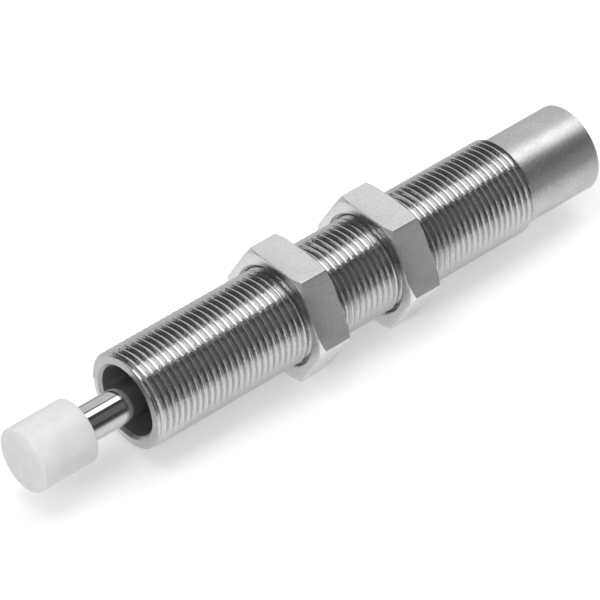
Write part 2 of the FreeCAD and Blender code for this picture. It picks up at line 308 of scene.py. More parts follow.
class Value:
    """A number in a node tree. Arithmetic on it adds Math nodes."""

    def __init__(self, sheet, socket):
        self.sheet = sheet
        self.socket = socket

    def __add__(self, other):
        return self.sheet.math("ADD", self, other)

    def __sub__(self, other):
        return self.sheet.math("SUBTRACT", self, other)

    def __rsub__(self, other):
        return self.sheet.math("SUBTRACT", other, self)

    def __mul__(self, other):
        return self.sheet.math("MULTIPLY", self, other)

    def __truediv__(self, other):
        return self.sheet.math("DIVIDE", self, other)

    def at_least(self, other):
        return self.sheet.math("MAXIMUM", self, other)

    def at_most(self, other):
        return self.sheet.math("MINIMUM", self, other)

    def clamped(self):
        return self.at_least(0.0).at_most(1.0)


class NodeSheet:
    """Short words for filling a node tree."""

    def __init__(self, tree):
        self.tree = tree

    def node(self, kind, inputs=None, **settings):
        made = self.tree.nodes.new(kind)
        for name, value in settings.items():
            setattr(made, name, value)
        for name, value in (inputs or {}).items():
            self.set(made.inputs[name], value)
        return made

    def set(self, socket, value):
        """Links a socket to a value or another socket, or gives it a constant."""
        if isinstance(value, Value):
            value = value.socket
        if isinstance(value, bpy.types.NodeSocket):
            self.tree.links.new(value, socket)
        else:
            socket.default_value = value

    def math(self, operation, *values):
        made = self.node("ShaderNodeMath", operation=operation)
        for index, value in enumerate(values):
            self.set(made.inputs[index], value)
        return Value(self, made.outputs[0])

    def vector_math(self, operation, *values, output="Vector", **named):
        made = self.node("ShaderNodeVectorMath", named, operation=operation)
        for index, value in enumerate(values):
            self.set(made.inputs[index], value)
        return made.outputs[output]

    def length(self, vector):
        return Value(self, self.vector_math("LENGTH", vector, output="Value"))

    def noise(self, vector, scale, detail, dimensions="3D"):
        inputs = {"Scale": scale, "Detail": detail}
        made = self.node("ShaderNodeTexNoise", inputs, noise_dimensions=dimensions)
        self.set(made.inputs["W" if dimensions == "1D" else "Vector"], vector)
        return Value(self, made.outputs[0])

    def ranged(self, value, low, high, start=NOISE_SPAN[0], end=NOISE_SPAN[1]):
        """A value from start to end carried over to low to high."""
        made = self.node(
            "ShaderNodeMapRange",
            {"Value": value, "From Min": start, "From Max": end, "To Min": low, "To Max": high},
        )
        return Value(self, made.outputs[0])

    def tones(self, value, dark, light):
        """A noise carried over to two tones."""
        ramp = self.node("ShaderNodeValToRGB", {"Fac": value})
        for element, position, tone in zip(ramp.color_ramp.elements, NOISE_SPAN, (dark, light)):
            element.position = position
            element.color = (*tone, 1)
        return ramp.outputs[0]

    def round_place(self, x, radius, angle):
        """The place at x along the axis, this far out from it and this far round it."""
        around = radius * self.math("COSINE", angle)
        up = radius * self.math("SINE", angle)
        return self.node("ShaderNodeCombineXYZ", {"X": x, "Y": around, "Z": up}).outputs[0]


def shaded(tone, factor):
    return tuple(min(1.0, channel * factor) for channel in tone)


def new_material(name):
    """An empty material with its shader, its object coordinates and the sheet to wire them."""
    material = bpy.data.materials.new(name)
    material.use_nodes = True
    sheet = NodeSheet(material.node_tree)
    shader = material.node_tree.nodes["Principled BSDF"]
    coordinates = sheet.node("ShaderNodeTexCoord").outputs["Object"]
    return material, sheet, shader, coordinates


def add_bump(sheet, shader, height, strength, depth):
    bump = sheet.node("ShaderNodeBump", {"Height": height, "Strength": strength, "Distance": depth})
    sheet.set(shader.inputs["Normal"], bump.outputs[0])


def lathe_lane(sheet, coordinates):
    """How far a turning tool has gone, along a wall and outwards on a face, and the vector from the axis."""
    parts = sheet.node("ShaderNodeSeparateXYZ", {"Vector": coordinates}).outputs
    across = sheet.node("ShaderNodeCombineXYZ", {"Y": parts[1], "Z": parts[2]}).outputs[0]
    return Value(sheet, parts[0]) + sheet.length(across), across


def lathe_streaks(sheet, coordinates, line_width):
    """Coordinates in which a noise makes streaks this wide across the tool's path, long round the axis."""
    lane, across = lathe_lane(sheet, coordinates)
    around = sheet.vector_math("SCALE", sheet.vector_math("NORMALIZE", across), Scale=STREAKS_PER_RADIAN)
    along = sheet.node("ShaderNodeCombineXYZ", {"X": lane / line_width}).outputs[0]
    return sheet.vector_math("ADD", around, along)


def turned_finish(name, tone, roughness, line_width, depth, spread=0.08, ripple=1.0, wear=0.3):
    """Metal with the fine rings of a lathe tool, broken up into short streaks and slightly uneven."""
    material, sheet, shader, coordinates = new_material(name)
    streaks = sheet.noise(lathe_streaks(sheet, coordinates, line_width), scale=1.0, detail=2.0)
    cloud = sheet.noise(coordinates, scale=320.0, detail=4.0)
    uneven = sheet.noise(coordinates, scale=2600.0, detail=1.0)
    worn = sheet.math("MULTIPLY_ADD", streaks, 0.7, sheet.math("MULTIPLY", cloud, 0.3))
    shader.inputs["Metallic"].default_value = 1.0
    colours = sheet.tones(worn, shaded(tone, 1 - spread), shaded(tone, 1 + spread))
    sheet.set(shader.inputs["Base Color"], colours)
    polish = sheet.ranged(streaks, roughness * (1 - wear), roughness * (1 + wear))
    sheet.set(shader.inputs["Roughness"], polish)
    add_bump(sheet, shader, sheet.math("MULTIPLY_ADD", uneven, ripple, streaks), strength=1.0, depth=depth)
    return material


def satin_finish(name, tone, roughness, depth):
    """Plated or drawn metal with a fine even grain."""
    material, sheet, shader, coordinates = new_material(name)
    grain = sheet.noise(coordinates, scale=4200.0, detail=2.0)
    cloud = sheet.noise(coordinates, scale=260.0, detail=3.0)
    shader.inputs["Metallic"].default_value = 1.0
    mixed = sheet.math("MULTIPLY_ADD", grain, 0.75, sheet.math("MULTIPLY", cloud, 0.25))
    sheet.set(shader.inputs["Base Color"], sheet.tones(mixed, shaded(tone, 0.86), shaded(tone, 1.1)))
    sheet.set(shader.inputs["Roughness"], sheet.ranged(cloud, roughness * 0.85, roughness * 1.15))
    add_bump(sheet, shader, grain, strength=1.0, depth=depth)
    return material


def chrome_finish(name, tone):
    """Hard chrome: a near mirror with faint polishing lines round the rod."""
    material, sheet, shader, coordinates = new_material(name)
    lane = lathe_lane(sheet, coordinates)[0]
    lines = sheet.noise(lane, scale=9000.0, detail=3.0, dimensions="1D")
    cloud = sheet.noise(coordinates, scale=500.0, detail=3.0)
    shader.inputs["Metallic"].default_value = 1.0
    sheet.set(shader.inputs["Base Color"], sheet.tones(cloud, shaded(tone, 0.97), shaded(tone, 1.03)))
    sheet.set(shader.inputs["Roughness"], sheet.ranged(lines, 0.03, 0.08))
    add_bump(sheet, shader, lines, strength=0.1, depth=0.0008 * MM)
    return material


def plastic_finish(name, tone):
    """Turned white engineering plastic that lets a little light in."""
    material, sheet, shader, coordinates = new_material(name)
    lane = lathe_lane(sheet, coordinates)[0]
    rings = sheet.noise(lane, scale=4200.0, detail=3.0, dimensions="1D")
    cloud = sheet.noise(coordinates, scale=420.0, detail=3.0)
    sheet.set(shader.inputs["Base Color"], sheet.tones(cloud, shaded(tone, 0.95), shaded(tone, 1.04)))
    sheet.set(shader.inputs["Roughness"], sheet.ranged(cloud, 0.34, 0.5))
    shader.inputs["Subsurface Weight"].default_value = 0.9
    shader.inputs["Subsurface Radius"].default_value = (1.0, 1.0, 1.0)
    shader.inputs["Subsurface Scale"].default_value = 1.8 * MM
    shader.inputs["Specular IOR Level"].default_value = 0.4
    add_bump(sheet, shader, rings, strength=0.2, depth=0.004 * MM)
    return material


def rubber_finish(name, tone, roughness=0.62, pores=2400.0, depth=0.01 * MM):
    """Matt rubber or closed-cell foam."""
    material, sheet, shader, coordinates = new_material(name)
    skin = sheet.noise(coordinates, scale=pores, detail=4.0)
    sheet.set(shader.inputs["Base Color"], sheet.tones(skin, shaded(tone, 0.75), shaded(tone, 1.35)))
    sheet.set(shader.inputs["Roughness"], sheet.ranged(skin, roughness * 0.9, roughness * 1.15))
    add_bump(sheet, shader, skin, strength=0.4, depth=depth)
    return material


# Each finish's maker, its tone in the settings, and what else the maker is told.
FINISHES = {
    "turned_steel": (
        turned_finish, "barrel", dict(roughness=0.18, line_width=0.16 * MM, depth=0.008 * MM, ripple=2.2)
    ),
    "brushed_steel": (
        turned_finish, "spigot",
        dict(roughness=0.36, line_width=0.16 * MM, depth=0.002 * MM, spread=0.2, wear=0.04),
    ),
    "faced_steel": (
        turned_finish, "faced",
        dict(roughness=0.4, line_width=0.1 * MM, depth=0.01 * MM, spread=0.16, ripple=2.0),
    ),
    # Painted light: the recess's steel has a lighter tone than the barrel's, to lift the shade inside the
    # recess.
    "recess_steel": (turned_finish, "recess", dict(roughness=0.5, line_width=0.3 * MM, depth=0.02 * MM)),
    "plated_steel": (satin_finish, "nut", dict(roughness=0.28, depth=0.012 * MM)),
    "polished_chrome": (chrome_finish, "rod", {}),
    "white_plastic": (plastic_finish, "cap", {}),
    "turned_plug": (turned_finish, "plug", dict(roughness=0.3, line_width=0.3 * MM, depth=0.01 * MM)),
    "black_screw": (satin_finish, "black", dict(roughness=0.42, depth=0.01 * MM)),
    "drawn_steel": (satin_finish, "spring", dict(roughness=0.36, depth=0.006 * MM)),
    "ground_steel": (turned_finish, "inner", dict(roughness=0.22, line_width=0.2 * MM, depth=0.006 * MM)),
    "turned_bronze": (turned_finish, "bronze", dict(roughness=0.28, line_width=0.25 * MM, depth=0.008 * MM)),
    "black_rubber": (rubber_finish, "rubber", {}),
    "dark_foam": (rubber_finish, "foam", dict(roughness=0.85, pores=1600.0, depth=0.06 * MM)),
}


def finish(name):
    """The finished material of this name, made on first use."""
    if name in bpy.data.materials:
        return bpy.data.materials[name]
    maker, tone, values = FINISHES[name]
    return maker(name, getattr(bpy.context.scene.absorber_finishes, tone), **values)


# Meshes


def arc_points(corner, before, after, radius, segments):
    """Points that round the corner between two straight runs of an outline."""
    back = (Vector(before) - Vector(corner)).normalized()
    ahead = (Vector(after) - Vector(corner)).normalized()
    half = back.angle(ahead) / 2
    reach = radius / math.tan(half)
    centre = Vector(corner) + (back + ahead).normalized() * (radius / math.sin(half))
    start = (Vector(corner) + back * reach - centre).normalized()
    end = (Vector(corner) + ahead * reach - centre).normalized()
    return [tuple(centre + start.slerp(end, index / segments) * radius) for index in range(segments + 1)]


def rounded_outline(corners, segments=3):
    """Outline of (x, radius) points from corners of (x, radius, rounding)."""
    points = []
    count = len(corners)
    for index, (x, radius, rounding) in enumerate(corners):
        if rounding:
            before = corners[index - 1][:2]
            after = corners[(index + 1) % count][:2]
            points += arc_points((x, radius), before, after, rounding, segments)
        else:
            points.append((x, radius))
    return points


def bridge(built, first, second):
    """Faces between two closed rows of points, three-cornered where a row is a single point."""
    for step in range(len(first)):
        after = (step + 1) % len(first)
        corners = list(dict.fromkeys([first[step], first[after], second[after], second[step]]))
        if len(corners) > 2:
            built.faces.new(corners)


def circle(steps):
    """Directions round the axis, from +Y towards +Z."""
    angles = [2 * math.pi * step / steps for step in range(steps)]
    return [(math.cos(angle), math.sin(angle)) for angle in angles]


def turned_mesh(outline, steps, closed=True):
    """Edges of an outline turned about X: a bmesh with a single point where the outline meets the axis."""
    built = bmesh.new()
    rings = []
    for x, radius in outline:
        if radius < JOIN_DISTANCE:
            rings.append([built.verts.new((x, 0, 0))] * steps)
        else:
            rings.append([built.verts.new((x, radius * y, radius * z)) for y, z in circle(steps)])
    for first, second in zip(rings, rings[1:]):
        bridge(built, first, second)
    if closed and outline[0][1] > JOIN_DISTANCE:
        bridge(built, rings[-1], rings[0])
    return built


def finished_mesh(name, built, sharp_angle=SHARP_ANGLE):
    """Closes a bmesh into a mesh with outward faces and crisp edges over the sharp angle."""
    bmesh.ops.remove_doubles(built, verts=built.verts, dist=JOIN_DISTANCE)
    bmesh.ops.recalc_face_normals(built, faces=built.faces)
    mesh = bpy.data.meshes.new(name)
    built.to_mesh(mesh)
    built.free()
    mesh.shade_smooth()
    mesh.set_sharp_from_angle(angle=math.radians(sharp_angle))
    return mesh


def add_piece(name, mesh, body, node, materials):
    """A finished mesh as a piece that stands for a CAD node and rides on its body."""
    for material in materials:
        mesh.materials.append(finish(material))
    piece = bpy.data.objects.new(name, mesh)
    bpy.context.scene.collection.objects.link(piece)
    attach(piece, body)
    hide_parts(node)
    return piece


def tree_mesh(tree, values, name):
    """Runs a Geometry Nodes tree on an empty mesh with these inputs and returns the plain mesh it makes."""
    holder = bpy.data.objects.new(name + "_holder", bpy.data.meshes.new(name + "_holder"))
    bpy.context.scene.collection.objects.link(holder)
    modifier = holder.modifiers.new("Tree", "NODES")
    modifier.node_group = tree
    for item in tree.interface.items_tree:
        if item.item_type == "SOCKET" and item.in_out == "INPUT" and item.name in values:
            modifier[item.identifier] = values[item.name]
    evaluated = holder.evaluated_get(bpy.context.evaluated_depsgraph_get())
    mesh = bpy.data.meshes.new_from_object(evaluated)
    holder.modifiers.remove(modifier)
    bpy.data.objects.remove(holder)
    mesh.name = name
    return mesh


def new_tree(name, floats, integers):
    """The sheet of a Geometry Nodes tree with number inputs and a material input, and the inputs by name."""
    tree = bpy.data.node_groups.new(name, "GeometryNodeTree")
    tree.interface.new_socket("Geometry", in_out="INPUT", socket_type="NodeSocketGeometry")
    for label in floats:
        tree.interface.new_socket(label, in_out="INPUT", socket_type="NodeSocketFloat")
    for label in integers:
        tree.interface.new_socket(label, in_out="INPUT", socket_type="NodeSocketInt")
    tree.interface.new_socket("Material", in_out="INPUT", socket_type="NodeSocketMaterial")
    tree.interface.new_socket("Geometry", in_out="OUTPUT", socket_type="NodeSocketGeometry")
    sheet = NodeSheet(tree)
    sockets = sheet.node("NodeGroupInput").outputs
    return sheet, {label: Value(sheet, sockets[label]) for label in (*floats, *integers, "Material")}


def close_tree(sheet, geometry, material):
    """Ends a tree in plain geometry with its material, and returns it."""
    realized = sheet.node("GeometryNodeRealizeInstances", {"Geometry": geometry}).outputs[0]
    coated = sheet.node("GeometryNodeSetMaterial", {"Geometry": realized, "Material": material}).outputs[0]
    sheet.tree.links.new(coated, sheet.node("NodeGroupOutput").inputs[0])
    return sheet.tree


def thread_tree():
    """A screw thread: a grid whose rows follow the helix and whose columns go round the barrel.

    The radius follows the thread's profile and is cut by a 45 degree chamfer at each end. The first row is
    the inner edge of the front face, so that the thread runs out into it as on the real part.
    """
    labels = (
        "Crest Radius", "Pitch", "Depth", "Start", "Crest Share", "Root Share",
        "End", "Front Chamfer", "Face Radius", "Spigot Radius",
    )
    sheet, given = new_tree("Screw thread", labels, ("Steps", "Rows"))
    size = {"Vertices X": given["Steps"] + 1.0, "Vertices Y": given["Rows"]}
    grid = sheet.node("GeometryNodeMeshGrid", size).outputs["Mesh"]
    index = Value(sheet, sheet.node("GeometryNodeInputIndex").outputs[0])
    column = sheet.math("FLOOR", (index + 0.5) / given["Rows"])
    row = index - column * given["Rows"]
    round_share = column / given["Steps"]
    turn = round_share + given["Start"]
    half_crest = given["Crest Share"] * 0.5
    half_root = given["Root Share"] * 0.5
    flank = 0.5 - (half_crest + half_root)

    # Rows are drawn together so that the crest, each flank and the root have their own.
    even = (row - (1.0 + ROWS_PER_PITCH)) / ROWS_PER_PITCH
    crest = sheet.math("ROUND", even)
    side = even - crest
    away = sheet.math("ABSOLUTE", side) * ROWS_PER_PITCH
    reach = away.clamped() * half_crest
    reach = reach + ((away - 1.0) / FLANK_ROWS).clamped() * flank
    reach = reach + (away - (1.0 + FLANK_ROWS)).clamped() * half_root
    rise = sheet.math("SIGN", side) * reach + crest + turn

    # The profile is read back from x, so that the rows held at either end lie on it too.
    x = (rise * given["Pitch"]).at_least(0.0).at_most(given["End"])
    phase = sheet.math("FRACT", x / given["Pitch"] - turn + 2.0)
    from_crest = phase.at_most(1.0 - phase)
    fall = ((from_crest - half_crest) / flank).clamped()
    front = given["Crest Radius"] - given["Front Chamfer"] + x
    rear = given["Spigot Radius"] + (given["End"] - x)
    radius = (given["Crest Radius"] - fall * given["Depth"]).at_most(front.at_most(rear))
    first = sheet.math("LESS_THAN", row, 0.5)
    radius = radius * (1.0 - first) + given["Face Radius"] * first
    place = sheet.round_place(x, radius, round_share * (2 * math.pi))
    moved = sheet.node("GeometryNodeSetPosition", {"Geometry": grid, "Position": place}).outputs[0]
    joining = {"Geometry": moved, "Distance": THREAD_JOIN_DISTANCE}
    merged = sheet.node("GeometryNodeMergeByDistance", joining).outputs[0]
    return close_tree(sheet, merged, given["Material"])


def coil_tree():
    """A round-wire coil along X whose end turns are closed up."""
    labels = ("Radius", "Wire Radius", "Front", "Back", "Turns", "Closed Share")
    sheet, given = new_tree("Coil spring", labels, ("Points Per Turn", "Wire Sides"))
    line = sheet.node("GeometryNodeCurvePrimitiveLine").outputs[0]
    sampling = {"Curve": line, "Count": given["Turns"] * given["Points Per Turn"]}
    points = sheet.node("GeometryNodeResampleCurve", sampling).outputs[0]
    along = Value(sheet, sheet.node("GeometryNodeSplineParameter").outputs["Factor"])
    closed = given["Closed Share"]
    wire = given["Wire Radius"] * 2.0
    wound = given["Turns"] * wire
    packed = (along.at_most(closed) + (along - (1.0 - closed)).at_least(0.0)) * wound
    room = given["Back"] - given["Front"] - (wire + closed * 2.0 * wound)
    free = ((along - closed) / (1.0 - closed * 2.0)).clamped()
    x = given["Front"] + given["Wire Radius"] + packed + free * room
    place = sheet.round_place(x, given["Radius"], along * given["Turns"] * (2 * math.pi))
    coil = sheet.node("GeometryNodeSetPosition", {"Geometry": points, "Position": place}).outputs[0]
    round_wire = {"Resolution": given["Wire Sides"], "Radius": given["Wire Radius"]}
    section = sheet.node("GeometryNodeCurvePrimitiveCircle", round_wire).outputs[0]
    swept = {"Curve": coil, "Profile Curve": section, "Fill Caps": True}
    wire_mesh = sheet.node("GeometryNodeCurveToMesh", swept).outputs[0]
    return close_tree(sheet, wire_mesh, given["Material"])


def barrel_outline(sizes, thread_end):
    """The barrel's inside and rear, from the thread's start round to its end."""
    recess, depth, web = sizes.recess_radius, sizes.recess_depth, sizes.web_radius
    bore, groove, spigot = sizes.bore_radius, sizes.groove_radius, sizes.spigot_radius
    ring_front = node_low("retaining_ring").x - SEAT_GAP
    ring_back = node_high("retaining_ring").x + SEAT_GAP
    end = sizes.length
    return rounded_outline([
        (0.0, recess + sizes.mouth_chamfer + sizes.ledge, 0),
        (0.0, recess + sizes.mouth_chamfer, 0.06 * MM),
        (sizes.mouth_chamfer, recess, 0.1 * MM),
        (depth, recess, 0.25 * MM),
        (depth, web, 0.08 * MM),
        (sizes.web_end, web, 0.05 * MM),
        (sizes.web_end, bore, 0.1 * MM),
        (ring_front, bore, 0.03 * MM),
        (ring_front, groove, 0.04 * MM),
        (ring_back, groove, 0.04 * MM),
        (ring_back, bore, 0.03 * MM),
        (end - sizes.bore_chamfer, bore, 0.05 * MM),
        (end, bore + sizes.bore_chamfer, 0.05 * MM),
        (end, spigot, 0.16 * MM),
        (thread_end, spigot, 0),
    ])


def barrel_finish(sizes, thread_end, place):
    """The name of the barrel's finish at this place."""
    inside = math.hypot(place.y, place.z) < sizes.recess_radius + sizes.mouth_chamfer
    if inside and sizes.mouth_depth < place.x < sizes.web_end + 0.01 * MM:
        return "recess_steel"
    if place.x > thread_end:
        return "brushed_steel"
    on_front = place.x < 0.001 * MM
    in_mouth = inside and place.x < sizes.mouth_depth
    return "faced_steel" if on_front or in_mouth else "turned_steel"


def build_barrel_mesh(sizes):
    """The barrel's inside and rear, turned, and the thread grown by its tree, joined into one closed skin."""
    thread_end = sizes.thread_length + sizes.crest_radius - sizes.spigot_radius
    outline = barrel_outline(sizes, thread_end)
    built = turned_mesh(outline, sizes.steps, closed=False)
    values = {
        "Crest Radius": sizes.crest_radius,
        "Pitch": sizes.pitch,
        "Depth": sizes.thread_depth,
        "Start": sizes.thread_start,
        "Crest Share": sizes.crest_share,
        "Root Share": sizes.root_share,
        "End": thread_end,
        "Front Chamfer": sizes.front_chamfer,
        "Face Radius": outline[0][1],
        "Spigot Radius": sizes.spigot_radius,
        "Steps": sizes.steps,
        "Rows": round(thread_end / sizes.pitch * ROWS_PER_PITCH) + 2 * ROWS_PER_PITCH + 2,
        "Material": finish("turned_steel"),
    }
    thread = tree_mesh(thread_tree(), values, "thread")
    built.from_mesh(thread)
    bpy.data.meshes.remove(thread)
    bmesh.ops.remove_doubles(built, verts=built.verts, dist=THREAD_JOIN_DISTANCE)
    for face in built.faces:
        name = barrel_finish(sizes, thread_end, face.calc_center_median())
        face.material_index = BARREL_FINISHES.index(name)
    return finished_mesh("barrel_shell", built, sharp_angle=28.0)


def hexagon_points(flat_radius, corner_radius, per_side=16, per_corner=4):
    """Points round a hexagon with rounded corners, a flat facing +Z."""
    corner = flat_radius / math.cos(math.radians(30))
    tips = [(corner * y, corner * z) for y, z in circle(6)]
    arcs = []
    for index, tip in enumerate(tips):
        arc = arc_points(tip, tips[index - 1], tips[(index + 1) % 6], corner_radius, per_corner)
        arcs.append([Vector(place) for place in arc])
    points = []
    for index, arc in enumerate(arcs):
        following = arcs[(index + 1) % 6][0]
        points += arc
        points += [arc[-1].lerp(following, step / per_side) for step in range(1, per_side)]
    return points


def nut_section(sizes, thickness, side_radius):
    """Closed section of the nut at one place round it, from the hole's front round to its back."""
    rim, edge = sizes.rim_radius, sizes.sink_edge
    sink_radius = sizes.hole_radius + sizes.sink
    slope = math.tan(sizes.chamfer_angle)
    face_edge = min(side_radius, sizes.face_radius)

    def side_at(depth):
        return min(side_radius, sizes.face_radius + depth / slope)

    front = [
        (sizes.sink + edge, sizes.hole_radius),
        (sizes.sink - edge, sizes.hole_radius + edge),
        (sizes.sink_rim, sink_radius - sizes.sink_rim),
        (0.0, sink_radius + edge),
        (0.0, (sink_radius + face_edge) / 2),
        (0.0, face_edge - rim),
    ]
    for row in NUT_RIM_ROWS:
        drop = rim * (1 - math.sqrt(1 - (1 - row) ** 2))
        front.append((rim * row, side_at(rim * row) - drop))

    # The chamfer's last row lies on the line where it meets the flats.
    chamfer_end = max(rim, (side_radius - sizes.face_radius) * slope)
    for row in NUT_CHAMFER_ROWS:
        depth = rim + (chamfer_end - rim) * row
        front.append((depth, side_at(depth)))
    back = [(thickness - x, radius) for x, radius in reversed(front)]
    return front + back


def build_nut_mesh(sizes, node):
    """A thin hexagon nut with chamfered corners, countersunk at both faces."""
    low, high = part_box(node)
    built = bmesh.new()
    columns = []
    for place in hexagon_points(sizes.flat_radius, sizes.corner_radius):
        y, z = place.normalized()
        section = nut_section(sizes, high.x - low.x, place.length)
        columns.append([built.verts.new((low.x + x, y * radius, z * radius)) for x, radius in section])
    for index, column in enumerate(columns):
        bridge(built, column, columns[(index + 1) % len(columns)])
    return finished_mesh(node + "_hex", built, sharp_angle=24.0)


def build_cap_mesh(sizes):
    """The white cap, rounded at both ends, with the hole for the rod's nose."""
    low, high = node_low("buffer_cap").x, node_high("buffer_cap").x
    hole = sizes.nose_radius + SEAT_GAP
    bottom = high - sizes.nose_length - SEAT_GAP
    outline = rounded_outline([
        (low, 0.0, 0),
        (low, sizes.cap_radius, sizes.cap_edge),
        (high, sizes.cap_radius, sizes.cap_edge),
        (high, hole, 0.1 * MM),
        (bottom, hole, 0),
        (bottom, 0.0, 0),
    ], segments=5)
    return finished_mesh("cap_shell", turned_mesh(outline, CAP_STEPS))


def build_rod_mesh(sizes):
    """The chromed rod with its nose, its soft shoulders and the shank for the piston."""
    high = node_high("piston_rod").x
    nose_front = node_high("buffer_cap").x - sizes.nose_length
    outline = rounded_outline([
        (nose_front, 0.0, 0),
        (nose_front, sizes.nose_radius, 0.2 * MM),
        (sizes.shoulder_x, sizes.nose_radius, 0.05 * MM),
        (sizes.shoulder_x, sizes.rod_radius, 0.12 * MM),
        (sizes.shank_x, sizes.rod_radius, 0.12 * MM),
        (sizes.shank_x, sizes.shank_radius, 0.05 * MM),
        (high - sizes.shank_chamfer, sizes.shank_radius, 0.05 * MM),
        (high, sizes.shank_radius - sizes.shank_chamfer, 0.05 * MM),
        (high, 0.0, 0),
    ], segments=4)
    return finished_mesh("rod_shell", turned_mesh(outline, TURNED_STEPS))


def build_plug_mesh(sizes):
    """The end plug with its sealing ring groove and its filler port."""
    low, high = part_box("end_plug")
    tube_end = node_high("pressure_tube").x + SEAT_GAP
    spigot = node_high("spring_seat").z
    groove_front = node_low("plug_sealing_ring").x - sizes.groove_room
    groove_back = node_high("plug_sealing_ring").x + sizes.groove_room
    radius = high.z
    floor = radius - sizes.groove_depth
    port, edge = sizes.port_radius, sizes.port_edge
    outline = rounded_outline([
        (low.x, sizes.seat_radius, 0),
        (low.x, spigot, 0.1 * MM),
        (tube_end, spigot, 0.05 * MM),
        (tube_end, radius, 0.1 * MM),
        (groove_front, radius, 0.05 * MM),
        (groove_front, floor, 0.05 * MM),
        (groove_back, floor, 0.05 * MM),
        (groove_back, radius, 0.05 * MM),
        (high.x, radius, 0.15 * MM),
        (high.x, port + edge, 0.03 * MM),
        (high.x - edge, port, 0.03 * MM),
        (high.x - sizes.port_depth, port, 0),
        (high.x - sizes.cone_depth, sizes.seat_radius, 0),
    ])
    return finished_mesh("plug_shell", turned_mesh(outline, TURNED_STEPS))


def build_screw_mesh(sizes):
    """The filler screw: a cone at its tip and a hexagon socket in its head."""
    low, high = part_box("filler_screw")
    cone = sizes.screw_radius - sizes.seat_radius
    outline = rounded_outline([
        (low.x, 0.0, 0),
        (low.x, sizes.seat_radius, 0.05 * MM),
        (low.x + cone, sizes.screw_radius, 0.05 * MM),
        (high.x, sizes.screw_radius, 0.14 * MM),
        (high.x, sizes.head_radius, 0),
    ])
    built = turned_mesh(outline, SCREW_STEPS, closed=False)
    built.verts.ensure_lookup_table()
    rows = [built.verts[-SCREW_STEPS:]]
    sixth = math.radians(60)
    for depth, widen in ((0.0, sizes.socket_edge), (sizes.socket_edge, 0.0), (sizes.socket_depth, 0.0)):
        row = []
        for y, z in circle(SCREW_STEPS):
            from_flat = (math.atan2(z, y) + sixth / 2) % sixth - sixth / 2
            radius = (sizes.socket_width / 2 + widen) / math.cos(from_flat)
            row.append(built.verts.new((high.x - depth, radius * y, radius * z)))
        rows.append(row)
    tip = built.verts.new((high.x - sizes.socket_depth - sizes.drill_tip, 0, 0))
    rows.append([tip] * SCREW_STEPS)
    for first, second in zip(rows, rows[1:]):
        bridge(built, first, second)
    return finished_mesh("screw_shell", built, sharp_angle=25.0)


def ring_arc(radius, open_angle):
    """Points along the snap ring, from one end of its gap round to the other."""
    start = open_angle - math.pi / 2
    swing = 2 * math.pi - 2 * open_angle
    angles = [start + swing * step / RING_STEPS for step in range(RING_STEPS + 1)]
    return [(radius * math.cos(angle), radius * math.sin(angle)) for angle in angles]


def thickened_mesh(name, flat, thickness):
    """A closed mesh from a flat bmesh, grown along X."""
    grown = bmesh.ops.extrude_face_region(flat, geom=list(flat.faces))
    moved = [item for item in grown["geom"] if isinstance(item, bmesh.types.BMVert)]
    bmesh.ops.translate(flat, verts=moved, vec=(thickness, 0, 0))
    bmesh.ops.recalc_face_normals(flat, faces=flat.faces)
    mesh = bpy.data.meshes.new(name)
    flat.to_mesh(mesh)
    flat.free()
    return mesh


def build_snap_ring_mesh(sizes):
    """The snap ring: a flat open ring with a drilled lug at each end, edges broken by a bevel."""
    low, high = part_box("retaining_ring")
    outer, half_gap = high.z, sizes.gap_width / 2
    lug_centre_radius = outer - sizes.ring_seat - sizes.lug_radius
    lug_z = -math.sqrt(lug_centre_radius ** 2 - half_gap ** 2)
    open_angle = math.atan2(half_gap, -lug_z)
    band = bmesh.new()
    outline = ring_arc(outer, open_angle) + ring_arc(outer - sizes.ring_width, open_angle)[::-1]
    band.faces.new([band.verts.new((low.x, y, z)) for y, z in outline])
    flats = [band]
    for lug_y in (half_gap, -half_gap):
        lug = bmesh.new()
        rows = []
        for radius in (sizes.lug_radius, sizes.lug_hole_radius):
            around = [(lug_y + y * radius, lug_z + z * radius) for y, z in circle(LUG_STEPS)]
            rows.append([lug.verts.new((low.x, y, z)) for y, z in around])
        bridge(lug, *rows)
        flats.append(lug)
    parts = []
    for index, flat in enumerate(flats):
        parts.append(thickened_mesh("snap_ring_part_%d" % index, flat, high.x - low.x))
    return join_solids(parts, "snap_ring_shell", sizes.ring_bevel)


def join_solids(meshes, name, bevel_width):
    """One closed mesh from overlapping closed meshes, with fine bevels on its edges."""
    holders = []
    for mesh in meshes:
        holder = bpy.data.objects.new(mesh.name, mesh)
        bpy.context.scene.collection.objects.link(holder)
        holders.append(holder)
    first = holders[0]
    for other in holders[1:]:
        union = first.modifiers.new("Union", "BOOLEAN")
        union.operation = "UNION"
        union.solver = "EXACT"
        union.object = other
    bevel = first.modifiers.new("Bevel", "BEVEL")
    bevel.width = bevel_width
    bevel.segments = 2
    bevel.limit_method = "ANGLE"
    bevel.angle_limit = math.radians(40)
    evaluated = first.evaluated_get(bpy.context.evaluated_depsgraph_get())
    joined = bpy.data.meshes.new_from_object(evaluated)
    joined.name = name
    for holder in holders:
        bpy.data.objects.remove(holder)
    joined.shade_smooth()
    joined.set_sharp_from_angle(angle=math.radians(SHARP_ANGLE))
    return joined


# Operators


class BuildBarrel(Operator):
    """Builds the threaded barrel"""

    bl_idname = "absorber.build_barrel"
    bl_label = "Barrel"

    def execute(self, context):
        mesh = build_barrel_mesh(context.scene.absorber_barrel)
        add_piece("barrel_shell", mesh, "housing", "barrel", BARREL_FINISHES)
        return {"FINISHED"}


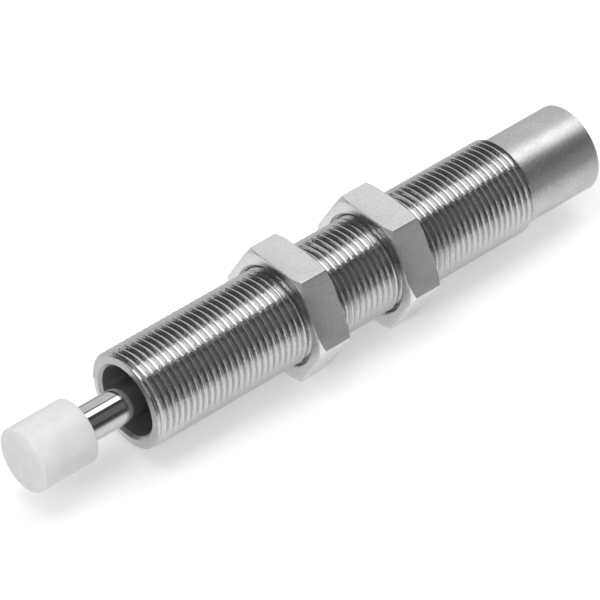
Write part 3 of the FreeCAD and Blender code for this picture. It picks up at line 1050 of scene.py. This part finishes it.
class BuildNuts(Operator):
    """Builds the two lock nuts"""

    bl_idname = "absorber.build_nuts"
    bl_label = "Lock nuts"

    def execute(self, context):
        for place in ("front", "rear"):
            node = place + "_lock_nut"
            mesh = build_nut_mesh(context.scene.absorber_nuts, node)
            add_piece(node + "_hex", mesh, place + "_nut", node, ["plated_steel"])
        return {"FINISHED"}


class BuildPlunger(Operator):
    """Builds the buffer cap and the chromed rod"""

    bl_idname = "absorber.build_plunger"
    bl_label = "Cap and rod"

    def execute(self, context):
        sizes = context.scene.absorber_plunger
        cap = build_cap_mesh(sizes)
        add_piece("cap_shell", cap, "plunger", "buffer_cap", ["white_plastic"])
        rod = build_rod_mesh(sizes)
        add_piece("rod_shell", rod, "plunger", "piston_rod", ["polished_chrome"])
        return {"FINISHED"}


class BuildRear(Operator):
    """Builds the end plug, the filler screw and the snap ring"""

    bl_idname = "absorber.build_rear"
    bl_label = "Rear end"

    def execute(self, context):
        sizes = context.scene.absorber_rear
        plug = build_plug_mesh(sizes)
        add_piece("plug_shell", plug, "housing", "end_plug", ["turned_plug"])
        screw = build_screw_mesh(sizes)
        add_piece("screw_shell", screw, "housing", "filler_screw", ["black_screw"])
        ring = build_snap_ring_mesh(sizes)
        add_piece("snap_ring_shell", ring, "housing", "retaining_ring", ["drawn_steel"])
        return {"FINISHED"}


class BuildSpring(Operator):
    """Builds the return spring"""

    bl_idname = "absorber.build_spring"
    bl_label = "Return spring"

    def execute(self, context):
        sizes = context.scene.absorber_spring
        low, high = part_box("return_spring")
        values = {
            "Radius": sizes.coil_radius,
            "Wire Radius": sizes.wire_diameter / 2,
            "Front": low.x,
            "Back": high.x,
            "Turns": sizes.turns,
            "Closed Share": sizes.closed_share,
            "Points Per Turn": sizes.points_per_turn,
            "Wire Sides": sizes.wire_sides,
            "Material": finish("drawn_steel"),
        }
        mesh = tree_mesh(coil_tree(), values, "spring_coil")
        mesh.materials.clear()
        mesh.shade_smooth()
        mesh.set_sharp_from_angle(angle=math.radians(40))
        piece = add_piece("spring_coil", mesh, "housing", "return_spring", ["drawn_steel"])
        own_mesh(piece)
        return {"FINISHED"}


class FinishInner(Operator):
    """Gives every inner part that keeps its CAD shape its finish"""

    bl_idname = "absorber.finish_inner"
    bl_label = "Inner parts"

    def execute(self, context):
        for node, material in INNER_FINISHES.items():
            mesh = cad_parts[node].data
            mesh.materials.clear()
            mesh.materials.append(finish(material))
        return {"FINISHED"}


def add_lamp(settings, name, brightness, direction, along, reach, width, height, turned_off=None):
    """A soft panel lamp that faces the object, its width along the second direction.

    With a brightness of 1, a polished mirror shows it about white.
    """
    data = bpy.data.lights.new(name, "AREA")
    data.shape = "RECTANGLE"
    data.size = width
    data.size_y = height
    data.energy = getattr(settings, brightness) * math.pi * width * height
    lamp = bpy.data.objects.new(name, data)
    bpy.context.scene.collection.objects.link(lamp)
    aim = Vector(direction).normalized()
    side = (Vector(along) - aim * aim.dot(Vector(along))).normalized()
    lamp.location = Vector(STAGE_CENTRE) + aim * reach
    lamp.rotation_euler = Matrix((side, aim.cross(side), aim)).transposed().to_euler()
    lamp.visible_camera = False
    if turned_off:
        setattr(lamp, turned_off, False)


def floor_finish(settings):
    """The floor's white, as seen, as mirrored near the object and as mirrored far out.

    The camera sees it white but for the object's shadow. Metal mirrors it white near the object, and further
    out it mirrors the dim studio.
    """
    material, sheet, shader, coordinates = new_material("floor_white")
    fleck = sheet.noise(coordinates, scale=40.0, detail=2.0)
    colours = sheet.tones(fleck, shaded(settings.floor, 0.995), shaded(settings.floor, 1.005))
    sheet.set(shader.inputs["Base Color"], colours)
    shader.inputs["Roughness"].default_value = 1.0
    shader.inputs["Specular IOR Level"].default_value = 0.0
    path = sheet.node("ShaderNodeLightPath").outputs
    seen = sheet.math("MAXIMUM", path["Is Camera Ray"], path["Is Glossy Ray"])
    seen = seen.at_least(path["Is Transmission Ray"])
    offset = sheet.vector_math("SUBTRACT", coordinates, STAGE_CENTRE)
    plain = sheet.ranged(sheet.length(offset), 0.0, 1.0, *PLAIN_WHITE_FADE)
    plain = sheet.math("MULTIPLY", path["Is Camera Ray"], plain)
    glowing = sheet.math("MULTIPLY_ADD", plain, 1.0 - settings.floor_glow, seen * settings.floor_glow)
    glow = sheet.node("ShaderNodeEmission", {"Color": (1, 1, 1, 1), "Strength": glowing})
    both = sheet.node("ShaderNodeAddShader")
    sheet.set(both.inputs[0], shader.outputs[0])
    sheet.set(both.inputs[1], glow.outputs[0])

    in_front = sheet.vector_math("MINIMUM", offset, (2 * FLOOR_HALF, 0.0, 0.0))
    scaled = sheet.vector_math("MULTIPLY", in_front, (ALONG_SHARE, 1.0, 0.0))
    behind = Value(sheet, sheet.node("ShaderNodeSeparateXYZ", {"Vector": offset}).outputs["Y"]).at_least(0.0)
    away = sheet.math("MULTIPLY_ADD", behind, -BEHIND_SHARE, sheet.length(scaled))
    far = sheet.ranged(away, 0.0, 1.0, *FRONT_FADE)
    far = far.at_least(sheet.ranged(behind, 0.0, BEHIND_DIM, *BEHIND_FADE))
    far = sheet.math("MULTIPLY", path["Is Glossy Ray"], far)
    dim = sheet.node("ShaderNodeEmission", {"Color": (1, 1, 1, 1), "Strength": settings.far_floor})
    mixed = sheet.node("ShaderNodeMixShader", {"Fac": far})
    sheet.set(mixed.inputs[1], both.outputs[0])
    sheet.set(mixed.inputs[2], dim.outputs[0])
    output = next(node for node in sheet.tree.nodes if node.type == "OUTPUT_MATERIAL")
    sheet.set(output.inputs["Surface"], mixed.outputs[0])
    return material


def add_floor(settings):
    """The pale floor under the nuts' lower flats."""
    built = bmesh.new()
    level = node_low("front_lock_nut").z
    sides = ((-1, -1), (1, -1), (1, 1), (-1, 1))
    built.faces.new([built.verts.new((x * FLOOR_HALF, y * FLOOR_HALF, level)) for x, y in sides])
    mesh = bpy.data.meshes.new("floor")
    built.to_mesh(mesh)
    built.free()
    mesh.materials.append(floor_finish(settings))
    floor = bpy.data.objects.new("floor", mesh)
    bpy.context.scene.collection.objects.link(floor)


def add_camera(settings):
    """The camera of the photograph, from the fit to the barrel's outline and the nuts' corners."""
    azimuth, elevation = settings.azimuth, settings.elevation
    back = Vector((
        math.sin(azimuth) * math.cos(elevation),
        -math.cos(azimuth) * math.cos(elevation),
        math.sin(elevation),
    ))
    right = Vector((math.cos(azimuth), math.sin(azimuth), 0))
    up = back.cross(right)
    data = bpy.data.cameras.new("camera")
    data.lens = settings.lens
    data.sensor_width = 36.0
    data.clip_start = 0.01
    data.clip_end = 20.0
    camera = bpy.data.objects.new("camera", data)
    bpy.context.scene.collection.objects.link(camera)
    camera.location = right * CAMERA_PLACE[0] + up * CAMERA_PLACE[1] + back * CAMERA_PLACE[2]
    camera.rotation_euler = Matrix((right, up, back)).transposed().to_euler()
    bpy.context.scene.camera = camera


def new_world(settings):
    """A grey world that the camera sees as white."""
    world = bpy.data.worlds.new("studio")
    world.use_nodes = True
    background = world.node_tree.nodes["Background"]
    background.inputs["Color"].default_value = (1, 1, 1, 1)
    sheet = NodeSheet(world.node_tree)
    seen = sheet.node("ShaderNodeLightPath").outputs["Is Camera Ray"]
    strength = sheet.math("MULTIPLY_ADD", seen, 1.0 - settings.world, settings.world)
    sheet.set(background.inputs["Strength"], strength)
    return world


class BuildStage(Operator):
    """Builds the floor, the lamps, the world and the camera"""

    bl_idname = "absorber.build_stage"
    bl_label = "Stage"

    def execute(self, context):
        scene = context.scene
        settings = scene.absorber_stage
        scene.view_settings.view_transform = "Standard"
        add_floor(settings)
        add_camera(settings)
        for lamp in LAMPS:
            add_lamp(settings, *lamp)
        scene.world = new_world(settings)
        return {"FINISHED"}


class AbsorberPanel(Panel):
    """Lists the steps that build the absorber"""

    bl_idname = "VIEW3D_PT_absorber"
    bl_label = "Shock absorber"
    bl_space_type = "VIEW_3D"
    bl_region_type = "UI"
    bl_category = "Absorber"

    def draw(self, context):
        for step in STEPS:
            self.layout.operator(step.bl_idname)


SETTINGS = {
    "absorber_barrel": BarrelSettings,
    "absorber_nuts": NutSettings,
    "absorber_plunger": PlungerSettings,
    "absorber_rear": RearSettings,
    "absorber_spring": SpringSettings,
    "absorber_finishes": FinishSettings,
    "absorber_stage": StageSettings,
}
STEPS = (BuildBarrel, BuildNuts, BuildPlunger, BuildRear, BuildSpring, FinishInner, BuildStage)


def register():
    for group in SETTINGS.values():
        bpy.utils.register_class(group)
    for name, group in SETTINGS.items():
        setattr(bpy.types.Scene, name, PointerProperty(type=group))
    for step in STEPS:
        bpy.utils.register_class(step)
    bpy.utils.register_class(AbsorberPanel)


def unregister():
    bpy.utils.unregister_class(AbsorberPanel)
    for step in reversed(STEPS):
        bpy.utils.unregister_class(step)
    for name, group in SETTINGS.items():
        delattr(bpy.types.Scene, name)
        bpy.utils.unregister_class(group)


def corners(box):
    return [list(corner) for corner in box]


def main():
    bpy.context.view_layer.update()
    register()
    for step in STEPS:
        group, name = step.bl_idname.split(".")
        getattr(getattr(bpy.ops, group), name)()


if __name__ == "__main__":
    main()
